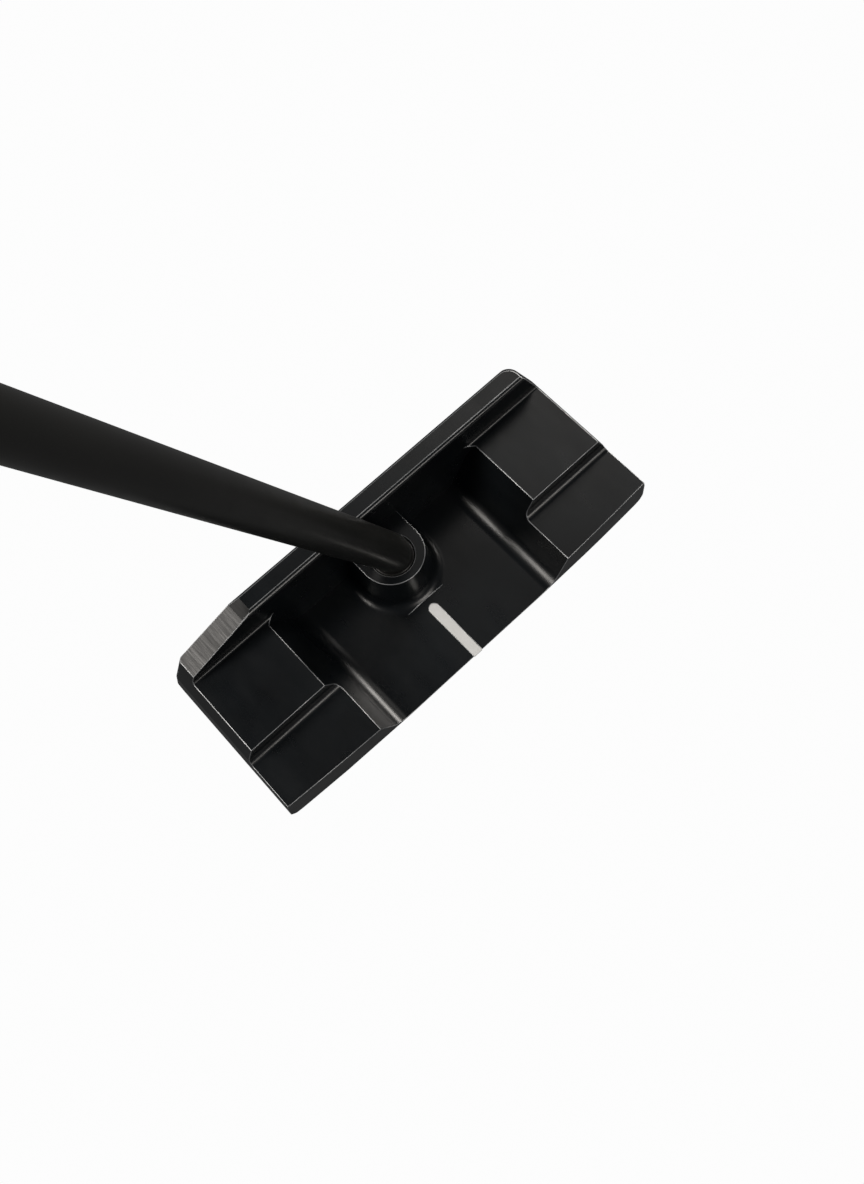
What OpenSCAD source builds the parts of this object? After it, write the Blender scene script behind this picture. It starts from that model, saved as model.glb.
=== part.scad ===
// Wide-body mallet putter with a centre-shafted head, removable sole weights and a paddle grip.
// Millimetres. Z up, origin on the flat of the sole under the middle of the head.
// The face looks along -Y, the heel is at +X and the toe at -X (a right-handed putter).

/* [Head] */
// Widest heel-to-toe size of the head
head_w = 114.8; // [110:0.1:120]
// Face edge of the topline to the trailing edge
head_depth = 42.1; // [40:0.1:45]
// Height of the topline above the sole
topline_z = 26; // [25:0.5:28]
// Width of the flat topline
topline_w = 5.5; // [5:0.1:6.5]
// Radius of the topline's rounded rear edge
bead_r = 1; // [0.6:0.1:1.4]
// Loft of the striking face in degrees
loft = 3; // [2:0.5:4]
// Where the topline starts to fall away at the heel, from the middle
heel_break_x = 35.5; // [32:0.5:38]
// Fall of the heel's shoulder in degrees
heel_fall = 20; // [16:1:22]
// Height of the front (upper) pads
front_pad_z = 17.2; // [16:0.1:18]
// Height of the rear (lower) pads
rear_pad_z = 11.8; // [10.5:0.1:12.5]
// Height of the cavity floor, which is the thickness of the sole
floor_z = 3.6; // [3:0.1:4.5]
// Inner edge of the front pads from the middle
front_pad_in = 32.7; // [31:0.1:34]
// Inner edge of the rear pads from the middle
rear_pad_in = 29.75; // [28.5:0.05:30.5]
// Depth of the front pads' back edge behind the face edge
front_pad_back = 26.75; // [26:0.25:28.5]
// Fillet where the cavity walls meet the floor
cavity_fillet = 5; // [3:0.5:6]
// Radius of the bowed trailing edge
trailing_r = 1000; // [800:10:2500]

/* [Shaft boss] */
// Height of the boss that takes the shaft
boss_z = 15; // [14:0.1:16]
// Radius of the boss at its top
boss_r = 8.1; // [7.8:0.1:8.6]
// Distance of the boss's round end from the face edge
boss_back = 12.45; // [12:0.05:13]
// Fillet at the foot of the boss
boss_fillet = 3; // [2:0.5:3.5]

/* [Sight line] */
// Width of the painted sight line
line_w = 2.5; // [1.5:0.1:3]
// Length of the painted sight line
line_len = 17; // [12:0.5:17.5]
// Depth of the engraved groove
line_deep = 0.4; // [0.3:0.1:0.6]

/* [Sole weights] */
// Distance of each weight from the middle of the sole
weight_x = 38; // [36:0.5:38]
// Radius of the weight's flange
weight_r = 8.8; // [8:0.1:9]
// Thickness of the weight's flange
flange_t = 3.6; // [3:0.1:4]
// Radius of the weight's threaded stud
stud_r = 3.95; // [3.9:0.05:4.4]
// Length of the threaded stud
stud_len = 4.4; // [4:0.1:4.6]
// Across-flats size of the hex socket
socket_af = 5; // [4:0.5:5]

/* [Shaft] */
// Length of the club along the shaft, from the ground to the butt
club_len = 864; // [813:1:889]
// Lean of the shaft from upright in degrees, which is 90 less the lie angle
lean = 20.5; // [18:0.5:22]
// Radius of the shaft at its tip
tip_r = 4.7; // [4.5:0.01:4.75]
// Radius of the shaft under the grip
butt_r = 7.37; // [7.2:0.01:7.6]
// Wall thickness of the steel tube
wall = 0.55; // [0.5:0.05:0.7]
// Distance from the ground at which the steps begin
first_step = 172; // [160:1:200]
// Number of steps
steps = 13; // [8:1:14]
// Spacing of the steps
step_pitch = 33; // [30:1:34]

/* [Grip] */
// Length of the grip
grip_len = 267; // [254:1:280]
// Radius of the grip at its lower mouth
grip_mouth_r = 10.2; // [10:0.1:11]
// Radius of the grip at its butt
grip_butt_r = 15.2; // [14:0.1:16]
// Distance of the flat front from the shaft's axis at the butt
grip_flat = 11.4; // [11:0.1:12]
// Radius of the vent hole in the cap
vent_r = 1.5; // [1:0.1:2]

/* [Hidden] */
$fn = 96;
eps = 0.01;
far = 150;                             // longer than the head, for the shapes that cut it

face_y = -20.75;                       // front edge of the topline
back_y = face_y + head_depth;          // trailing edge in the middle
wall_y = face_y + topline_w;           // back wall of the topline
step_y = face_y + front_pad_back;      // step from the front pads down to the rear pads
wall_slope = (front_pad_in - rear_pad_in) / (front_pad_z - rear_pad_z);  // run per rise of the cavity walls

// The head's outside, level by level up from the sole: height, distance in from the widest, distance
// of the front in from the face's plane, distance of the back in from the trailing edge.
levels = [[0, 8.5, 2.4, 10], [0.9, 3.6, 0.7, 3.2], [2.2, 0.8, 0, 0.9], [4, 0, 0, 0], [9.5, 0.3, 0, 0],
          [13, 1.1, 0, 0], [16.2, 2.8, 0, 0], [17.4, 3.9, 0, 0], [25.4, 6.9, 0, 0], [26, 7.5, 0.6, 0]];
level_scale = topline_z/levels[len(levels) - 1][0];
toe_corner = 3;
heel_corner = 1.2;
back_corner = 1.6;
face_spare = 0.05;                     // the levels reach this far past the face, which is then cut flat
soft_break = 1.4;                      // a half-steep cut starts this far before the heel's fall

top_cove = 0.8;                        // fillet between the topline's back wall and the front pads
step_cove = 2;                         // fillet between the step and the rear pads
cavity_corner = 4;                     // upright corners at the front of the cavity
cavity_spare = 0.8;                    // the corners' block is this much wider than the front pads' inner edges
boss_y = face_y + boss_back;
boss_draft = 1.1;                      // the boss is this much wider at its foot
patch_y = face_y + 23.35;              // the foot of the boss is cut square here
line_end_gap = 0.15;                   // the groove stops this short of the trailing edge

bond_gap = 0.1;
bore_r = tip_r + bond_gap;
bore_bottom = 3.4;                     // height of the bore's end above the ground
countersink = 0.6;
elbow = [0.2, boss_y + 0.7, 16.9];     // where the upright tip's line and the shaft's line cross
elbow_s = elbow[2]/cos(lean);          // the same place, measured along the shaft from the ground
bend_r = 10;
bend_run = bend_r*tan(lean/2);
draw = 0.02;                           // the wall is this much thicker each way round the bend
lap = 0.4;                             // the straight parts run this far into the bend
tip_rise = 0.08;                       // growth of the radius from the tip to the first step
step_len = 1.2;                        // length of one step's shoulder
plug_len = 8;

seat_gap = 0.05;                       // flange to washer, and washer to the pocket's end
washer_t = 0.6;
washer_in = 0.8;                       // the washer's edge is this far inside the flange's
washer_hole = 0.3;                     // and its hole this much wider than the stud
pocket_r = weight_r + 0.3;
stud_hole_r = stud_r + 0.05;
stud_room = 0.6;                       // space over the end of the stud
weight_chamfer = 0.4;
socket_deep = 3;
weight_y = -5;
weight_bottom = 0.4;                   // the flange sits this far up from the sole
pocket_deep = weight_bottom + flange_t + washer_t + 2*seat_gap;

cap_t = 5;
butt_gap = 1;                          // the tube ends this far short of the grip's end
grip_start = club_len - cap_t - grip_len;  // measured along the shaft from the ground
tape_t = 0.2;
tape_in = 4;                           // the tape stops this far inside each end of the grip
grip_bore = butt_r + tape_t;
flat_tilt = 0.6;                       // lean of the grip's flat front in degrees

function arc(cx, cy, r, a0, a1, n) =
    [for (i = [0:n]) [cx + r*cos(a0 + (a1 - a0)*i/n), cy + r*sin(a0 + (a1 - a0)*i/n)]];

function reversed(list) = [for (i = [len(list) - 1:-1:0]) list[i]];

function mirrored(list) = [for (p = reversed(list)) [-p[0], p[1]]];

// The face's distance in Y at a height
function face_at(z) = face_y - (topline_z - z)*tan(loft);

// Along the main part of the shaft: local Z is the shaft's line, measured from the ground.
module on_shaft(s) {
    ground_x = elbow[0] - elbow[2]*tan(lean);
    translate([ground_x, elbow[1], 0]) rotate([0, lean, 0]) translate([0, 0, s]) children();
}

// Sweeps a cross-section round the bend between the upright tip and the main part of the shaft
module bend() {
    translate([elbow[0] + bend_r, elbow[1], elbow[2] - bend_run]) rotate([90, 0, 0]) rotate([0, 0, 180 - lean])
        rotate_extrude(angle = lean, $fn = 180) translate([bend_r, 0]) children();
}

// One thin level of the head's outside, with rounded corners
module level_plate(z, side_in, front_in, back_in) {
    half = head_w/2 - side_in;
    front = face_at(z) + front_in - face_spare;
    back = back_y - back_in;
    for (s = [-1, 1]) {
        corner = s > 0 ? heel_corner : toe_corner;
        translate([s*(half - corner), front + corner, z]) cylinder(r = corner, h = eps, $fn = 40);
        translate([s*(half - back_corner), back - back_corner, z]) cylinder(r = back_corner, h = eps, $fn = 32);
    }
}

// Everything under a plane that falls away towards the heel
module under_fall(x, angle) {
    translate([x, 0, topline_z]) rotate([0, angle, 0]) translate([-far, -far, -2*far]) cube([2*far, 2*far, 2*far]);
}

// Everything behind the lofted face
module behind_face() {
    translate([0, face_y, topline_z]) rotate([-loft, 0, 0]) translate([-far, 0, -far]) cube([2*far, far, 2*far]);
}

module outside() {
    intersection() {
        hull() for (l = levels) level_plate(l[0]*level_scale, l[1], l[2], l[3]);
        behind_face();
        translate([0, back_y - trailing_r, -1]) cylinder(r = trailing_r, h = topline_z + 2, $fn = 720);
        under_fall(heel_break_x - soft_break, heel_fall/2);
        under_fall(heel_break_x, heel_fall);
    }
}

// Cross-section of the cavity: sloping walls, rounded into a flat floor
module cavity_section() {
    lean_in = atan(wall_slope);
    tangent = cavity_fillet*tan((90 - lean_in)/2);
    floor_x = front_pad_in - (front_pad_z - floor_z)*wall_slope - tangent;
    top_x = front_pad_in + (2*topline_z - front_pad_z)*wall_slope;
    right = arc(floor_x, floor_z + cavity_fillet, cavity_fillet, -90, -lean_in, 12);
    polygon(concat(right, [[top_x, 2*topline_z], [-top_x, 2*topline_z]], mirrored(right)));
}

// The boss that takes the shaft, with a filleted foot that is cut square at the back
module boss() {
    foot_r = boss_r + boss_draft;
    outline = concat([[0, floor_z - 1], [foot_r + boss_fillet, floor_z - 1]],
                     arc(foot_r + boss_fillet, floor_z + boss_fillet, boss_fillet, -90, -180, 10),
                     [[boss_r, boss_z], [0, boss_z]]);
    intersection() {
        union() {
            translate([0, boss_y, 0]) rotate_extrude() polygon(outline);
            translate([0, boss_y, 0]) rotate([90, 0, 0]) linear_extrude(boss_y - wall_y + 1)
                polygon(concat(outline, mirrored(outline)));
        }
        translate([-far/2, wall_y - 1, 0]) cube([far, patch_y - wall_y + 1, topline_z]);
    }
}

// The cavity's outline from above, with its two front corners rounded
module cavity_block() {
    half = front_pad_in + cavity_spare;
    for (s = [-1, 1])
        translate([s*(half - cavity_corner), wall_y + cavity_corner, 0]) cylinder(r = cavity_corner, h = far);
    translate([cavity_corner - half, wall_y, 0]) cube([2*(half - cavity_corner), far, far]);
    translate([-half, wall_y + cavity_corner, 0]) cube([2*half, far, far]);
}

module cavity() {
    difference() {
        intersection() {
            translate([0, far/2, 0]) rotate([90, 0, 0]) linear_extrude(far/2 - wall_y) cavity_section();
            cavity_block();
        }
        boss();
    }
}

// Fillet along X between a wall at y and the pads at height z
module cove(y, z, r) {
    difference() {
        translate([-far, y - 1, z - 1]) cube([2*far, r + 1, r + 1]);
        translate([-2*far, y + r, z + r]) rotate([0, 90, 0]) cylinder(r = r, h = 4*far);
    }
}

// What comes off the topline's rear edge to round it
module round_over() {
    y = wall_y - bead_r;
    z = topline_z - bead_r;
    difference() {
        translate([-far, y, z]) cube([2*far, bead_r + 1, bead_r + 1]);
        translate([-2*far, y, z]) rotate([0, 90, 0]) cylinder(r = bead_r, h = 4*far);
    }
}

// Everything above the pads, behind the topline
module above_pads() {
    difference() {
        translate([-far, wall_y, front_pad_z]) cube([2*far, far, topline_z]);
        cove(wall_y, front_pad_z, top_cove);
    }
    difference() {
        translate([-far, step_y, rear_pad_z]) cube([2*far, far, topline_z]);
        cove(step_y, rear_pad_z, step_cove);
    }
}

module shaft_bore(top) {
    translate([elbow[0], elbow[1], bore_bottom]) cylinder(r = bore_r, h = top - bore_bottom);
    translate([elbow[0], elbow[1], boss_z - countersink])
        cylinder(r1 = bore_r, r2 = bore_r + countersink, h = countersink);
}

// The groove of the sight line, as deep as the line is or with room above it
module sight_line(room) {
    rear = back_y - line_len + line_w/2;
    translate([0, rear, floor_z - line_deep]) cylinder(r = line_w/2, h = line_deep + room);
    translate([-line_w/2, rear, floor_z - line_deep])
        cube([line_w, back_y - rear - line_end_gap, line_deep + room]);
}

module weight_pocket(s) {
    translate([s*weight_x, weight_y, -1]) {
        cylinder(r = pocket_r, h = pocket_deep + 1);
        cylinder(r = stud_hole_r, h = 1 + weight_bottom + flange_t + stud_len + stud_room);
    }
}

module head_body() {
    color([0.03, 0.032, 0.036])
    difference() {
        outside();
        difference() {
            above_pads();
            boss();
        }
        round_over();
        cavity();
        shaft_bore(boss_z + 1);
        sight_line(1);
        weight_pocket(1);
        weight_pocket(-1);
    }
}

module sight_line_fill() {
    color([0.93, 0.93, 0.9]) sight_line(0);
}

module weight(s) {
    color([0.75, 0.75, 0.77])
    translate([s*weight_x, weight_y, weight_bottom]) difference() {
        union() {
            cylinder(r1 = weight_r - weight_chamfer, r2 = weight_r, h = weight_chamfer);
            translate([0, 0, weight_chamfer]) cylinder(r = weight_r, h = flange_t - weight_chamfer);
            cylinder(r = stud_r, h = flange_t + stud_len);
        }
        translate([0, 0, -1]) rotate(30) cylinder(r = socket_af/sqrt(3), h = 1 + socket_deep, $fn = 6);
    }
}

module washer(s) {
    color([0.05, 0.05, 0.05])
    translate([s*weight_x, weight_y, weight_bottom + flange_t + seat_gap]) difference() {
        cylinder(r = weight_r - washer_in, h = washer_t);
        translate([0, 0, -1]) cylinder(r = stud_r + washer_hole, h = washer_t + 2);
    }
}

// Radius of the tube after a number of its steps
function step_r(i) = tip_r + tip_rise + (butt_r - tip_r - tip_rise)*i/steps;

// Outline of the stepped tube, from the bend to the butt, drawn in from the outside by the inset
function stepped(inset) = concat(
    [[tip_r - inset, elbow_s + bend_run - lap], [step_r(0) - inset, first_step]],
    [for (i = [0:steps - 1], k = [0, 1]) [step_r(i + k) - inset, first_step + 1 + i*step_pitch + k*step_len]],
    [[butt_r - inset, club_len - cap_t - butt_gap]]);

module shaft() {
    $fn = 64;
    color([0.06, 0.06, 0.06]) union() {
        on_shaft(0) rotate_extrude() polygon(concat(stepped(0), reversed(stepped(wall))));
        bend() difference() {
            circle(r = tip_r + draw);
            circle(r = tip_r - wall - draw);
        }
        translate([elbow[0], elbow[1], bore_bottom]) difference() {
            cylinder(r = tip_r, h = elbow[2] - bend_run + lap - bore_bottom);
            translate([0, 0, -1]) cylinder(r = tip_r - wall, h = elbow[2]);
        }
    }
}

// Cured adhesive between the shaft's tip and the bore, level with the top of the boss
module shaft_bond() {
    color([0.35, 0.33, 0.28]) difference() {
        shaft_bore(boss_z);
        translate([elbow[0], elbow[1], 0]) cylinder(r = tip_r, h = 2*boss_z);
    }
}

// Plug that keeps adhesive out of the tube
module tip_plug() {
    color([0.8, 0.7, 0.5]) translate([elbow[0], elbow[1], bore_bottom]) cylinder(r = tip_r - wall, h = plug_len);
}

module grip_tape() {
    color([0.85, 0.82, 0.72]) on_shaft(grip_start + tape_in) difference() {
        cylinder(r = grip_bore, h = grip_len - 2*tape_in);
        translate([0, 0, -1]) cylinder(r = butt_r, h = grip_len);
    }
}

// Cuts the flat front, which widens away from the shaft towards the butt
module flat_front() {
    translate([-grip_flat, -far/2, grip_len]) rotate([0, -flat_tilt, 0]) translate([-far, 0, -2*grip_len])
        cube([far, far, 3*grip_len]);
}

module grip() {
    color([0.07, 0.07, 0.07]) on_shaft(grip_start) difference() {
        rotate_extrude()
            polygon([[grip_bore, 0], [grip_mouth_r - 1, 0], [grip_mouth_r, 1.2],
                     [grip_mouth_r + 2.4, 0.35*grip_len], [grip_butt_r - 1.2, 0.8*grip_len],
                     [grip_butt_r, grip_len], [grip_bore, grip_len]]);
        flat_front();
    }
}

module grip_cap() {
    spigot = grip_bore - 0.1;
    color([0.07, 0.07, 0.07]) on_shaft(grip_start) difference() {
        translate([0, 0, grip_len]) rotate_extrude()
            polygon([[0, -butt_gap], [spigot, -butt_gap], [spigot, 0], [grip_butt_r, 0], [grip_butt_r, 0.5*cap_t],
                     [grip_butt_r - 0.8, 0.8*cap_t], [grip_butt_r - 2.4, cap_t], [0, cap_t]]);
        translate([0, 0, grip_len - 2*butt_gap]) cylinder(r = vent_r, h = 2*cap_t + 2*butt_gap);
        flat_front();
    }
}

head_body();
sight_line_fill();
shaft_bond();
tip_plug();
shaft();
grip_tape();
grip();
grip_cap();
washer(1);  // heel_washer
washer(-1);  // toe_washer
weight(1);  // heel_weight
weight(-1);  // toe_weight
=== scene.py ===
import math

import bmesh
import bpy
from mathutils import Matrix, Vector


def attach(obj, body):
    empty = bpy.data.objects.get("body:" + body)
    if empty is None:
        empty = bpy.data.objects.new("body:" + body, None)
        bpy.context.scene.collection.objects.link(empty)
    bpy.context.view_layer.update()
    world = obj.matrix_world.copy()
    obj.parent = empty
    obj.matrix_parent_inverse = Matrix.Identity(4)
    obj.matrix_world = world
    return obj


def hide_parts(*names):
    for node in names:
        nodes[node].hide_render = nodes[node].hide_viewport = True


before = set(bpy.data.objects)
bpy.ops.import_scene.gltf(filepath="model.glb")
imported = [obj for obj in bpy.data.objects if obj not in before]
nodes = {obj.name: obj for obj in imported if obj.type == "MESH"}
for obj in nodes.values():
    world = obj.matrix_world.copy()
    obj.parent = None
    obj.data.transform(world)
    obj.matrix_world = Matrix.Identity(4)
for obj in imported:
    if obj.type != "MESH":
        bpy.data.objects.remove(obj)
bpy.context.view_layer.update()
mm = 0.001
seam = 1e-7                             # points closer than this are one


def linear(hexText):
    def one(v):
        return v / 12.92 if v <= 0.04045 else ((v + 0.055) / 1.055) ** 2.4
    return tuple(one(int(hexText[i:i + 2], 16) / 255) for i in (1, 3, 5)) + (1.0,)


# One node with its settings, its plain input values and what is wired into it.
def addNode(tree, kind, settings=None, inputs=None, links=None):
    n = tree.nodes.new(kind)
    for key, value in (settings or {}).items():
        setattr(n, key, value)
    for key, value in (inputs or {}).items():
        n.inputs[key].default_value = value
    for key, source in (links or {}).items():
        tree.links.new(source, n.inputs[key])
    return n


def newMaterial(name, inputs):
    mat = bpy.data.materials.new(name)
    mat.use_nodes = True
    tree = mat.node_tree
    shader = tree.nodes["Principled BSDF"]
    for key, value in inputs.items():
        shader.inputs[key].default_value = value
    return mat, tree, shader


def objectCoords(tree, scale=(1, 1, 1), shift=(0, 0, 0)):
    coords = addNode(tree, "ShaderNodeTexCoord")
    return addNode(tree, "ShaderNodeMapping", inputs={"Scale": scale, "Location": shift},
                   links={"Vector": coords.outputs["Object"]}).outputs["Vector"]


# Size is the width of one patch of noise in millimetres.
def noise(tree, size, detail=3, scale=(1, 1, 1), roughness=0.55):
    return addNode(tree, "ShaderNodeTexNoise",
                   inputs={"Scale": 1 / (size * mm), "Detail": detail, "Roughness": roughness},
                   links={"Vector": objectCoords(tree, scale)}).outputs["Fac"]


# Colours a pattern: stops are (place, colour) pairs, and a plain number is a grey.
def ramp(tree, source, stops):
    n = addNode(tree, "ShaderNodeValToRGB", links={"Fac": source})
    while len(n.color_ramp.elements) < len(stops):
        n.color_ramp.elements.new(0.5)
    for element, (place, colour) in zip(n.color_ramp.elements, stops):
        element.position = place
        element.color = colour if isinstance(colour, tuple) else (colour, colour, colour, 1)
    return n.outputs["Color"]


# Base colour: a pattern between two hex colours, over the middle of its span.
def paint(tree, shader, pattern, dark, light, low=0.3, high=0.7):
    colour = ramp(tree, pattern, [(low, linear(dark)), (high, linear(light))])
    tree.links.new(colour, shader.inputs["Base Color"])


# Spreads a pattern's usual span over low to high.
def mapRange(tree, source, low, high, fromLow=0.3, fromHigh=0.7):
    return addNode(tree, "ShaderNodeMapRange",
                   inputs={"From Min": fromLow, "From Max": fromHigh, "To Min": low, "To Max": high},
                   links={"Value": source}).outputs["Result"]


# Depth is in millimetres.
def bump(tree, shader, height, depth, strength):
    n = addNode(tree, "ShaderNodeBump", inputs={"Distance": depth * mm, "Strength": strength},
                links={"Height": height})
    tree.links.new(n.outputs["Normal"], shader.inputs["Normal"])


def meshObject(name, bm, materials, smoothAngle=40, orient=True):
    me = bpy.data.meshes.new(name)
    if orient:
        bmesh.ops.recalc_face_normals(bm, faces=bm.faces)
    bm.to_mesh(me)
    bm.free()
    ob = bpy.data.objects.new(name, me)
    bpy.context.scene.collection.objects.link(ob)
    for m in materials:
        me.materials.append(m)
    me.shade_smooth()
    me.set_sharp_from_angle(angle=math.radians(smoothAngle))
    return ob


# A skin through a row of rings, each a list of points. A closed skin ends on its first ring again.
def skinRings(bm, rings):
    rows = [[bm.verts.new(p) for p in ring] for ring in rings]
    count = len(rows[0])
    for a, b in zip(rows, rows[1:]):
        for i in range(count):
            j = (i + 1) % count
            bm.faces.new((a[i], a[j], b[j], b[i]))


def circlePoints(r, steps):
    angles = [2 * math.pi * i / steps for i in range(steps)]
    return [Vector((r * math.cos(a), r * math.sin(a), 0)) for a in angles]


# A closed outline of (radius, height) pairs turned round an upright line at centre.
def lathe(name, outline, centre, materials, steps=96, smoothAngle=35):
    bm = bmesh.new()
    rings = [[Vector(centre) + p + Vector((0, 0, z)) for p in circlePoints(r, steps)]
             for r, z in outline + [outline[0]]]
    skinRings(bm, rings)
    bmesh.ops.remove_doubles(bm, verts=bm.verts, dist=seam)
    return meshObject(name, bm, materials, smoothAngle)


# A tidy copy of a CAD node's mesh: seams merged, flat areas made into single faces.
def cadCopy(node, flat=0.4):
    bm = bmesh.new()
    bm.from_mesh(nodes[node].data)
    bmesh.ops.remove_doubles(bm, verts=bm.verts, dist=0.002 * mm)
    bmesh.ops.dissolve_limit(bm, angle_limit=math.radians(flat), verts=bm.verts, edges=bm.edges)
    return bm


# Softens the edges where the surface turns by more than 30 degrees.
def addBevel(ob, width, segments):
    b = ob.modifiers.new("softEdges", "BEVEL")
    b.width = width * mm
    b.segments = segments
    b.limit_method = "ANGLE"
    b.angle_limit = math.radians(30)
    b.use_clamp_overlap = False
    flatten = ob.modifiers.new("flatStaysFlat", "WEIGHTED_NORMAL")
    flatten.keep_sharp = True
    flatten.weight = 80


# Shading normals for a machined part: flat cuts stay flat, and small faces blend them together.
# A face over flatArea (square millimetres) is a flat cut; the two blends are in degrees.
def steadyNormals(ob, blend=50, flatArea=9.0, flatBlend=7):
    me = ob.data
    areas = [f.area / (mm * mm) for f in me.polygons]
    normals = [f.normal.copy() for f in me.polygons]
    around = [[] for v in me.vertices]
    for f in me.polygons:
        for v in f.vertices:
            around[v].append(f.index)
    closeBlend, closeFlat = math.cos(math.radians(blend)), math.cos(math.radians(flatBlend))
    shaded = []
    for f in me.polygons:
        big = areas[f.index] > flatArea
        for v in f.vertices:
            total = Vector((0, 0, 0))
            for other in around[v]:
                close = closeFlat if big and areas[other] > flatArea else closeBlend
                if normals[other].dot(normals[f.index]) > close:
                    total += normals[other] * areas[other]
            shaded.append(total.normalized() if total.length > 0 else normals[f.index])
    me.shade_smooth()
    me.normals_split_custom_set(shaded)


# Puts a finished piece on its body, in place of its CAD node where it has one.
def onClub(ob, node, body="club"):
    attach(ob, body)
    if node:
        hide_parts(node)


# Runs a Geometry Nodes tree once over an object and keeps the result as its plain mesh.
def bakeNodes(ob, tree, values):
    mod = ob.modifiers.new("made", "NODES")
    mod.node_group = tree
    for item in tree.interface.items_tree:
        if item.item_type == "SOCKET" and item.in_out == "INPUT" and item.name in values:
            mod[item.identifier] = values[item.name]
    deps = bpy.context.evaluated_depsgraph_get()
    result = ob.evaluated_get(deps)
    made = bpy.data.meshes.new_from_object(result, preserve_all_data_layers=True, depsgraph=deps)
    ob.modifiers.clear()
    ob.data = made


def newGeometryTree(name, inputs):
    tree = bpy.data.node_groups.new(name, "GeometryNodeTree")
    tree.interface.new_socket("Geometry", in_out="INPUT", socket_type="NodeSocketGeometry")
    for label, kind in inputs:
        tree.interface.new_socket(label, in_out="INPUT", socket_type=kind)
    tree.interface.new_socket("Geometry", in_out="OUTPUT", socket_type="NodeSocketGeometry")
    return tree, tree.nodes.new("NodeGroupInput"), tree.nodes.new("NodeGroupOutput")


# Looks down over the heel and the trailing edge from about arm's height above the head.
camera = {
    "place": (0.0461, 0.0805, 0.2594),
    "right": (-0.7342, 0.6751, -0.0674),
    "down": (0.6547, 0.6789, -0.3322),
    "lens": 34.0,
}
camData = bpy.data.cameras.new("camera")
camData.lens = camera["lens"]
camData.sensor_width = 36
camData.clip_start = 0.01
camObject = bpy.data.objects.new("camera", camData)
bpy.context.scene.collection.objects.link(camObject)
camRight = Vector(camera["right"]).normalized()
camBack = camRight.cross(-Vector(camera["down"])).normalized()
camUp = camBack.cross(camRight)
camTurn = Matrix((camRight, camUp, camBack)).transposed().to_4x4()
camObject.matrix_world = Matrix.Translation(camera["place"]) @ camTurn
bpy.context.scene.camera = camObject

studio = {
    "floorHalf": 4.0, "floorDrop": 0.0003, "seen": 0.98, "felt": 0.10, "sky": 0.06,
    "skyTint": "#E6F2FF", "lampTint": "#FFFAF4",
}

# Bright to the eye, dim to reflections, so that the black coat keeps its depth; clear from below.
floorMat = bpy.data.materials.new("white studio floor")
floorMat.use_nodes = True
tree = floorMat.node_tree
tree.nodes.remove(tree.nodes["Principled BSDF"])
seen = addNode(tree, "ShaderNodeLightPath").outputs["Is Camera Ray"]
floorGlow = mapRange(tree, seen, studio["felt"], studio["seen"], 0, 1)
glow = addNode(tree, "ShaderNodeEmission", links={"Strength": floorGlow})
clear = addNode(tree, "ShaderNodeBsdfTransparent")
under = addNode(tree, "ShaderNodeNewGeometry").outputs["Backfacing"]
mix = addNode(tree, "ShaderNodeMixShader",
              links={0: under, 1: glow.outputs["Emission"], 2: clear.outputs["BSDF"]})
tree.links.new(mix.outputs["Shader"], tree.nodes["Material Output"].inputs["Surface"])
bm = bmesh.new()
bmesh.ops.create_grid(bm, x_segments=1, y_segments=1, size=studio["floorHalf"])
bmesh.ops.translate(bm, verts=bm.verts, vec=(0, 0, -studio["floorDrop"]))
floor = meshObject("studioFloor", bm, [floorMat])

world = bpy.data.worlds.new("studio")
bpy.context.scene.world = world
world.use_nodes = True
tree = world.node_tree
seen = addNode(tree, "ShaderNodeLightPath").outputs["Is Camera Ray"]
background = tree.nodes["Background"]
tree.links.new(mapRange(tree, seen, studio["sky"], studio["seen"], 0, 1), background.inputs["Strength"])
tree.links.new(ramp(tree, seen, [(0, linear(studio["skyTint"])), (1, 1.0)]), background.inputs["Color"])
bpy.context.scene.view_settings.view_transform = "Standard"


# Every lamp points at the origin, under the head; power is in watts.
def areaLight(name, place, size, power):
    data = bpy.data.lights.new(name, "AREA")
    data.shape = "RECTANGLE"
    data.size, data.size_y = size
    data.energy = power
    data.color = linear(studio["lampTint"])[:3]
    ob = bpy.data.objects.new(name, data)
    ob.location = place
    ob.rotation_euler = (-Vector(place)).to_track_quat("-Z", "Y").to_euler()
    bpy.context.scene.collection.objects.link(ob)


areaLight("heelSoftbox", (1.5, -0.75, 1.4), (0.8, 0.8), 22)
areaLight("toeSoftbox", (-1.85, -0.56, 0.98), (0.8, 0.6), 17)
areaLight("rearSoftbox", (-0.4, 1.75, 1.2), (1.0, 0.5), 10)
areaLight("frontSoftbox", (-0.9, -0.8, 1.9), (0.9, 0.7), 1.6)
print("camera and studio done")

headLook = {"top": 26.0, "edge": 0.15, "edgeAngle": 28, "weld": 0.06}

# Hard black coat over fine milling: dark and satin, slightly blue, cloudy where handled.
coatMat, tree, shader = newMaterial("satin black hard coat", {"IOR": 1.6})
cloud = noise(tree, 16, detail=5)
paint(tree, shader, cloud, "#080A0C", "#111518")
fine = noise(tree, 0.6, detail=2)
smear = noise(tree, 5, detail=3, scale=(1, 0.4, 1))
tree.links.new(mapRange(tree, smear, 0.26, 0.34), shader.inputs["Roughness"])
bump(tree, shader, fine, 0.002, 0.5)

# The pale steel colour on every sharp edge is partly wear, where the coat is thin and the steel shows
# through, and partly a painted highlight standing in for the bright edge lines.
edgeWearAndHighlightMat, tree, shader = newMaterial("coat worn thin on an edge with painted highlight", {"Metallic": 1.0})
wearAndHighlight = noise(tree, 6, detail=3)
paint(tree, shader, wearAndHighlight, "#8E9193", "#D6D7D8")
tree.links.new(mapRange(tree, wearAndHighlight, 0.55, 0.45), shader.inputs["Roughness"])

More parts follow.
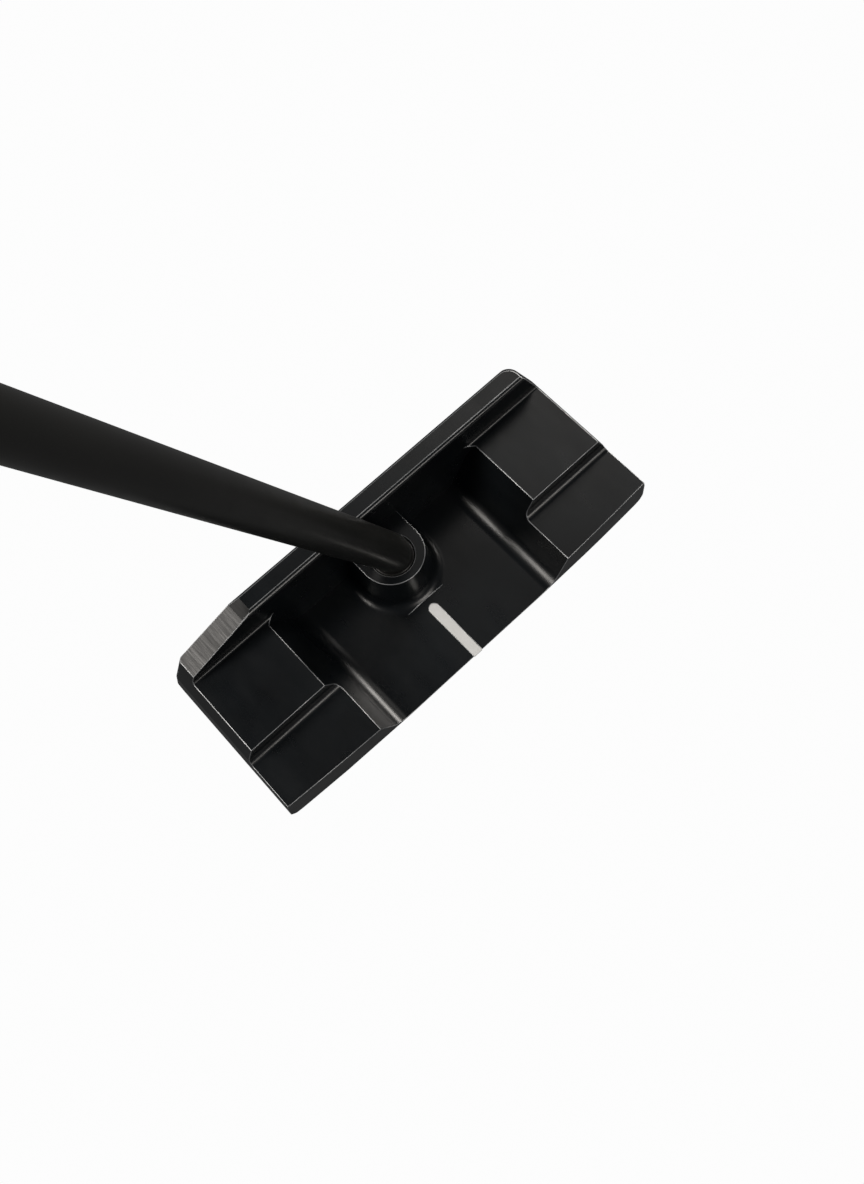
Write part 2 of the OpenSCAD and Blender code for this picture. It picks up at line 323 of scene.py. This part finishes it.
# The heel's shoulder is cut across in fine parallel passes that catch the light. The passes are
# drawn 0.45 mm apart, coarser than such a cutter leaves, so that they show.
facetMat, tree, shader = newMaterial("fly-cut heel shoulder", {"IOR": 1.6, "Anisotropic": 0.4})
passes = noise(tree, 0.45, detail=3, scale=(1, 0.04, 0.04), roughness=0.7)
paint(tree, shader, passes, "#141414", "#303030")
tree.links.new(mapRange(tree, passes, 0.34, 0.56), shader.inputs["Roughness"])
bump(tree, shader, passes, 0.006, 0.6)

bm = cadCopy("head_body")
bmesh.ops.remove_doubles(bm, verts=bm.verts, dist=headLook["weld"] * mm)
top = headLook["top"] * mm
headMats = [coatMat, edgeWearAndHighlightMat, facetMat]


# The heel's fall and the soft start above it face up and a little to the heel, high on the head.
def onHeelFall(f):
    return abs(f.normal.y) < 0.02 and 0.1 < f.normal.x < 0.4 and f.calc_center_median().z > 0.6 * top


for f in bm.faces:
    if onHeelFall(f):
        f.material_index = headMats.index(facetMat)
edgeAngle = math.radians(headLook["edgeAngle"])
# These edges are bevelled and take the pale steel colour, which is partly wear and partly a painted
# highlight.
broken = [e for e in bm.edges if len(e.link_faces) == 2 and e.calc_face_angle_signed(0) > edgeAngle]
bmesh.ops.bevel(bm, geom=broken, offset=headLook["edge"] * mm, segments=2, profile=0.5, affect="EDGES",
                material=headMats.index(edgeWearAndHighlightMat), clamp_overlap=False, loop_slide=True)
head = meshObject("headBody", bm, headMats, orient=False)
steadyNormals(head)
onClub(head, "head_body")
print("head done")

milling = {
    "width": 78.0, "low": 4.5, "high": 22.5, "pitch": 0.6, "ridge": 0.22, "proud": 0.035, "loft": 3.0,
    "faceEdge": -20.75, "ovalReach": 11.0, "ovalDraw": 0.55, "leastShare": 0.05,
}

# Fine ridges across the striking face, one box for each pass of the cutter.
tree, given, out = newGeometryTree("millingLines", [
    ("Count", "NodeSocketInt"), ("Step", "NodeSocketVector"), ("Size", "NodeSocketVector"),
    ("Material", "NodeSocketMaterial")])
row = addNode(tree, "GeometryNodeMeshLine", {"mode": "OFFSET"},
              links={"Count": given.outputs["Count"], "Offset": given.outputs["Step"]})
ridge = addNode(tree, "GeometryNodeMeshCube", links={"Size": given.outputs["Size"]})
laid = addNode(tree, "GeometryNodeInstanceOnPoints",
               links={"Points": row.outputs["Mesh"], "Instance": ridge.outputs["Mesh"]})
solid = addNode(tree, "GeometryNodeRealizeInstances", links={"Geometry": laid.outputs["Instances"]})
coloured = addNode(tree, "GeometryNodeSetMaterial",
                   links={"Geometry": solid.outputs["Geometry"], "Material": given.outputs["Material"]})
tree.links.new(coloured.outputs["Geometry"], out.inputs["Geometry"])

ridges = meshObject("faceMilling", bmesh.new(), [coatMat])
ridgeSize = (milling["width"] * mm, 2 * milling["proud"] * mm, milling["ridge"] * mm)
bakeNodes(ridges, tree, {
    "Count": int((milling["high"] - milling["low"]) / milling["pitch"]),
    "Step": (0, 0, milling["pitch"] * mm), "Size": ridgeSize, "Material": coatMat})
loft = math.radians(milling["loft"])
lowY = milling["faceEdge"] * mm - (top - milling["low"] * mm) * math.tan(loft)
bm = bmesh.new()
bm.from_mesh(ridges.data)
onFace = Matrix.Translation((0, lowY, milling["low"] * mm)) @ Matrix.Rotation(-loft, 4, "X")
bmesh.ops.transform(bm, matrix=onFace, verts=bm.verts)
middleZ = (milling["low"] + milling["high"]) / 2 * mm
for v in bm.verts:                      # round the ends of the pattern towards an oval
    up = (v.co.z - middleZ) / (milling["ovalReach"] * mm)
    v.co.x *= math.sqrt(max(milling["leastShare"], 1 - up ** 2 * milling["ovalDraw"]))
bm.to_mesh(ridges.data)
bm.free()
ridges.data.materials.clear()
ridges.data.materials.append(coatMat)
onClub(ridges, None)

# Enamel flooded into the groove, very slightly uneven.
lineLook = {"edge": 0.08}
enamelMat, tree, shader = newMaterial("white enamel fill", {"IOR": 1.5, "Coat Weight": 0.2})
paint(tree, shader, noise(tree, 2.2, detail=4), "#F8F8F5", "#FFFFFE")
tree.links.new(mapRange(tree, noise(tree, 1), 0.32, 0.45), shader.inputs["Roughness"])
bump(tree, shader, noise(tree, 1.2), 0.02, 0.5)
line = meshObject("sightLine", cadCopy("sight_line_fill"), [enamelMat])
addBevel(line, lineLook["edge"], 2)
onClub(line, "sight_line_fill")

shaftLook = {
    "lean": 20.5, "elbow": (0.2, -7.6, 16.9), "bend": 10.0, "tipRadius": 4.7, "buttRadius": 7.37,
    "bottom": 3.4, "wall": 0.55, "tipRise": 0.08, "firstStep": 172.0, "steps": 13, "pitch": 33.0,
    "stepLead": 1.0, "stepLength": 1.2, "stepRings": 4, "tipRings": 5, "bendRings": 12, "butt": 858.0,
}
lean = math.radians(shaftLook["lean"])
elbow = Vector(shaftLook["elbow"]) * mm
along = Vector((math.sin(lean), 0, math.cos(lean)))
# Heights along the shaft count from where its line meets the ground.
onShaft = Matrix.Translation(elbow - along * (elbow.z / math.cos(lean))) @ Matrix.Rotation(lean, 4, "Y")

# Black coat on drawn steel tube, a touch warmer than the head.
tubeMat, tree, shader = newMaterial(
    "satin black shaft coat", {"IOR": 1.5, "Coat Weight": 0.15, "Coat Roughness": 0.25})
paint(tree, shader, noise(tree, 22, detail=4, scale=(1, 1, 0.3)), "#191918", "#222220")
tree.links.new(mapRange(tree, noise(tree, 7), 0.30, 0.40), shader.inputs["Roughness"])
bump(tree, shader, noise(tree, 0.35, detail=2), 0.004, 0.5)


# Places along the stepped part and the radius there, in millimetres.
def shaftProfile():
    first, butt = shaftLook["tipRadius"] + shaftLook["tipRise"], shaftLook["buttRadius"]
    rows = [(shaftLook["firstStep"], first)]
    for i in range(shaftLook["steps"]):
        low = first + (butt - first) * i / shaftLook["steps"]
        high = first + (butt - first) * (i + 1) / shaftLook["steps"]
        start = shaftLook["firstStep"] + i * shaftLook["pitch"] + shaftLook["stepLead"]
        for k in range(shaftLook["stepRings"] + 1):     # each step is a short soft shoulder
            t = k / shaftLook["stepRings"]
            rows.append((start + shaftLook["stepLength"] * t, low + (high - low) * t * t * (3 - 2 * t)))
    return rows + [(shaftLook["butt"], butt)]


# The upright tip, the bend and the leaning steps, drawn in by inset.
def shaftRings(inset, steps=64):
    tip = (shaftLook["tipRadius"] - inset) * mm
    bend = shaftLook["bend"] * mm
    run = bend * math.tan(lean / 2)
    rings = []
    bottom = shaftLook["bottom"] * mm
    for i in range(shaftLook["tipRings"] + 1):
        z = bottom + (elbow.z - run - bottom) * i / shaftLook["tipRings"]
        rings.append([Vector((elbow.x, elbow.y, z)) + p for p in circlePoints(tip, steps)])
    centre = Vector((elbow.x + bend, elbow.y, elbow.z - run))
    for i in range(1, shaftLook["bendRings"] + 1):
        a = lean * i / shaftLook["bendRings"]
        place = Matrix.Translation(centre) @ Matrix.Rotation(a, 4, "Y") @ Matrix.Translation((-bend, 0, 0))
        rings.append([place @ p for p in circlePoints(tip, steps)])
    for s, r in shaftProfile():
        place = onShaft @ Matrix.Translation((0, 0, s * mm))
        rings.append([place @ p for p in circlePoints((r - inset) * mm, steps)])
    return rings


bm = bmesh.new()
outer, inner = shaftRings(0), shaftRings(shaftLook["wall"])
skinRings(bm, outer + inner[::-1] + [outer[0]])
bmesh.ops.remove_doubles(bm, verts=bm.verts, dist=seam)
tube = meshObject("shaftTube", bm, [tubeMat], 50)
onClub(tube, "shaft")

# Adhesive squeezed up round the tip, sunk a little between the tip and the countersunk mouth.
bond = {"bore": 4.8, "mouth": 5.4, "top": 15.0, "bottom": 3.4, "countersink": 0.6, "sunk": 0.28}
glueMat, tree, shader = newMaterial("dark cured epoxy", {"IOR": 1.45})
paint(tree, shader, noise(tree, 1.5), "#0E0E0D", "#171614")
tree.links.new(mapRange(tree, noise(tree, 0.8), 0.3, 0.5), shader.inputs["Roughness"])
tipR, boreR, mouthR = shaftLook["tipRadius"], bond["bore"], bond["mouth"]
outline = [(tipR, bond["bottom"]), (boreR, bond["bottom"]), (boreR, bond["top"] - bond["countersink"]),
           (mouthR, bond["top"])]
outline += [(mouthR - (mouthR - tipR) * t, bond["top"] - bond["sunk"] * math.sin(math.pi * t))
            for t in (0.15, 0.3, 0.5, 0.7, 0.85)]
outline += [(tipR, bond["top"])]
glue = lathe("shaftBond", [(r * mm, z * mm) for r, z in outline], (elbow.x, elbow.y, 0), [glueMat])
onClub(glue, "shaft_bond")
print("shaft done")

gripLook = {
    "start": 592.0, "length": 267.0, "mouth": 10.2, "butt": 15.2, "flat": 11.4, "flatTilt": 0.6,
    "bore": 7.57, "lip": 1.2, "corner": 30, "rings": 60, "capEdge": 0.35,
    "studPitch": 2.6, "studsRound": 36, "studRadius": 0.55, "studHeight": 0.16, "studTop": 0.62,
    "studSink": 0.04, "studsFrom": 8.0,
}

# Moulded rubber: dull, soft black with a fine grain.
rubberMat, tree, shader = newMaterial("moulded grip rubber", {"IOR": 1.52, "Sheen Weight": 0.1})
paint(tree, shader, noise(tree, 9, detail=5), "#161617", "#202021")
tree.links.new(mapRange(tree, noise(tree, 3), 0.62, 0.78), shader.inputs["Roughness"])
bump(tree, shader, noise(tree, 0.3, detail=3), 0.02, 0.7)


# Radius of the round section at a place along the grip, counted up from its mouth.
def gripRadius(s):
    length, mouth, butt = gripLook["length"], gripLook["mouth"], gripLook["butt"]
    keys = [(0, mouth - 1), (gripLook["lip"], mouth), (length * 0.35, mouth + 2.4),
            (length * 0.8, butt - 1.2), (length, butt)]
    for (a, ra), (b, rb) in zip(keys, keys[1:]):
        if s <= b:
            return ra + (rb - ra) * (s - a) / (b - a)
    return keys[-1][1]


# The round section, cut flat on the side away from the player and eased at the corners.
def gripSection(s, steps, extra=0.0):
    r = gripRadius(s) + extra
    flat = gripLook["flat"] + extra + math.tan(math.radians(gripLook["flatTilt"])) * (s - gripLook["length"])
    corner = gripLook["corner"]         # the higher, the sharper
    points = []
    for i in range(steps):
        a = 2 * math.pi * i / steps
        c = math.cos(a)
        reach = r
        if c < 0 and flat < r:
            reach = ((1 / r) ** corner + (-c / flat) ** corner) ** (-1 / corner)
        points.append(Vector((reach * c * mm, reach * math.sin(a) * mm, 0)))
    return points


# Stands a flat ring of points on the shaft at a place along the grip.
def atGrip(s, ring):
    return [onShaft @ (Vector((0, 0, (gripLook["start"] + s) * mm)) + p) for p in ring]


def gripRings(stations, steps, extra=0.0):
    return [atGrip(s, gripSection(s, steps, extra)) for s in stations]


bm = bmesh.new()
gripSteps = 96
body = gripLook["length"] - gripLook["lip"]
stations = [0, 0.3, 0.8, gripLook["lip"]]
stations += [gripLook["lip"] + body * i / gripLook["rings"] for i in range(1, gripLook["rings"] + 1)]
outer = gripRings(stations, gripSteps)
bore = [atGrip(s, circlePoints(gripLook["bore"] * mm, gripSteps)) for s in (gripLook["length"], 0)]
skinRings(bm, outer + bore + [outer[0]])
bmesh.ops.remove_doubles(bm, verts=bm.verts, dist=seam)
grip = meshObject("gripSleeve", bm, [rubberMat], 45)
onClub(grip, "grip")

# Low studs stand in staggered rows over the rubber.
tree, given, out = newGeometryTree("gripStuds", [
    ("Radius", "NodeSocketFloat"), ("Top share", "NodeSocketFloat"), ("Height", "NodeSocketFloat"),
    ("Around", "NodeSocketInt"), ("Material", "NodeSocketMaterial")])


def studMath(operation, inputs=None, links=None):
    return addNode(tree, "ShaderNodeMath", {"operation": operation}, inputs, links).outputs["Value"]


index = addNode(tree, "GeometryNodeInputIndex").outputs["Index"]
rowWhole = studMath("FLOOR", links={0: studMath("DIVIDE", links={0: index, 1: given.outputs["Around"]})})
odd = studMath("MODULO", {1: 2.0}, {0: studMath("ADD", links={0: index, 1: rowWhole})})
normal = addNode(tree, "GeometryNodeInputNormal")
turned = addNode(tree, "FunctionNodeAlignEulerToVector", {"axis": "Z"},
                 links={"Vector": normal.outputs["Normal"]})
topRadius = studMath("MULTIPLY", links={0: given.outputs["Radius"], 1: given.outputs["Top share"]})
stud = addNode(tree, "GeometryNodeMeshCone", {"fill_type": "NGON"},
               {"Vertices": 8, "Side Segments": 1, "Fill Segments": 1},
               {"Radius Bottom": given.outputs["Radius"], "Radius Top": topRadius,
                "Depth": given.outputs["Height"]})
laid = addNode(tree, "GeometryNodeInstanceOnPoints", links={
    "Points": given.outputs["Geometry"], "Instance": stud.outputs["Mesh"],
    "Rotation": turned.outputs["Rotation"], "Selection": odd})
solid = addNode(tree, "GeometryNodeRealizeInstances", links={"Geometry": laid.outputs["Instances"]})
coloured = addNode(tree, "GeometryNodeSetMaterial",
                   links={"Geometry": solid.outputs["Geometry"], "Material": given.outputs["Material"]})
tree.links.new(coloured.outputs["Geometry"], out.inputs["Geometry"])

rows = int((gripLook["length"] - 2 * gripLook["studsFrom"]) / gripLook["studPitch"])
studRows = [gripLook["studsFrom"] + gripLook["studPitch"] * i for i in range(rows)]
bm = bmesh.new()
skinRings(bm, gripRings(studRows, gripLook["studsRound"], -gripLook["studSink"]))
studs = meshObject("gripStuds", bm, [rubberMat], 180)
bakeNodes(studs, tree, {
    "Radius": gripLook["studRadius"] * mm, "Top share": gripLook["studTop"],
    "Height": gripLook["studHeight"] * mm, "Around": gripLook["studsRound"], "Material": rubberMat})
onClub(studs, None)

cap = meshObject("gripCap", cadCopy("grip_cap", 1.0), [rubberMat])
addBevel(cap, gripLook["capEdge"], 3)
onClub(cap, "grip_cap")
print("grip done")

weightLook = {
    "x": 38.0, "y": -5.0, "chamfer": 0.15, "ringPitch": 1.1, "washerHeight": 4.05, "washerThick": 0.6,
    "washerOuter": 8.0, "washerInner": 4.25,
}
washerMat, tree, shader = newMaterial("washer rubber", {"IOR": 1.5})
paint(tree, shader, noise(tree, 1.5), "#121212", "#1E1E1E")
tree.links.new(mapRange(tree, noise(tree, 1), 0.5, 0.65), shader.inputs["Roughness"])

# The washer's section: thick, flat above and below, with half-round edges inside and outside.
low, thick = weightLook["washerHeight"], weightLook["washerThick"]
inside, outside = weightLook["washerInner"], weightLook["washerOuter"]
edgeR = thick / 2
edgeTurn = (0, 0.6, 1.2, 1.8, 2.4, math.pi)
section = [(inside + edgeR - edgeR * math.sin(a), low + edgeR - edgeR * math.cos(a)) for a in edgeTurn]
section += [(outside - edgeR + edgeR * math.sin(a), low + edgeR - edgeR * math.cos(a))
            for a in edgeTurn[::-1]]

for side, s in (("heel", 1), ("toe", -1)):
    # Turned stainless steel: fine rings about the weight's own middle.
    steelMat, tree, shader = newMaterial(
        "turned stainless, " + side, {"Metallic": 1.0, "IOR": 2.5, "Anisotropic": 0.4})
    middle = objectCoords(tree, shift=(-s * weightLook["x"] * mm, -weightLook["y"] * mm, 0))
    rings = addNode(tree, "ShaderNodeTexWave", {"wave_type": "RINGS", "rings_direction": "Z"},
                    {"Scale": 1 / (weightLook["ringPitch"] * mm), "Distortion": 0.4, "Detail": 2},
                    {"Vector": middle}).outputs["Fac"]
    paint(tree, shader, rings, "#A9AAAC", "#C4C5C6", 0.2, 0.8)
    tree.links.new(mapRange(tree, noise(tree, 2), 0.22, 0.34), shader.inputs["Roughness"])
    bump(tree, shader, rings, 0.006, 0.5)
    weight = meshObject(side + "Weight", cadCopy(side + "_weight", 1.0), [steelMat])
    addBevel(weight, weightLook["chamfer"], 2)
    onClub(weight, side + "_weight", side + "_screw")

    washer = lathe(side + "Washer", [(r * mm, z * mm) for r, z in section],
                   (s * weightLook["x"] * mm, weightLook["y"] * mm, 0), [washerMat], 64, 50)
    onClub(washer, side + "_washer", side + "_carrier")
print("weights done")

# The tape and the plug are hidden inside the club and keep their CAD shape.
tapeMat, tree, shader = newMaterial("paper grip tape", {"IOR": 1.45})
paint(tree, shader, noise(tree, 3, detail=5), "#D8D2BE", "#E6E1CF")
tree.links.new(mapRange(tree, noise(tree, 2), 0.7, 0.85), shader.inputs["Roughness"])
corkMat, tree, shader = newMaterial("pressed cork plug", {"IOR": 1.4})
paint(tree, shader, noise(tree, 0.9, detail=3), "#8A6A44", "#C4A274", 0.35, 0.65)
tree.links.new(mapRange(tree, noise(tree, 1), 0.75, 0.9), shader.inputs["Roughness"])
for node, material in (("grip_tape", tapeMat), ("tip_plug", corkMat)):
    nodes[node].data.materials.clear()
    nodes[node].data.materials.append(material)

print("hidden pieces done")
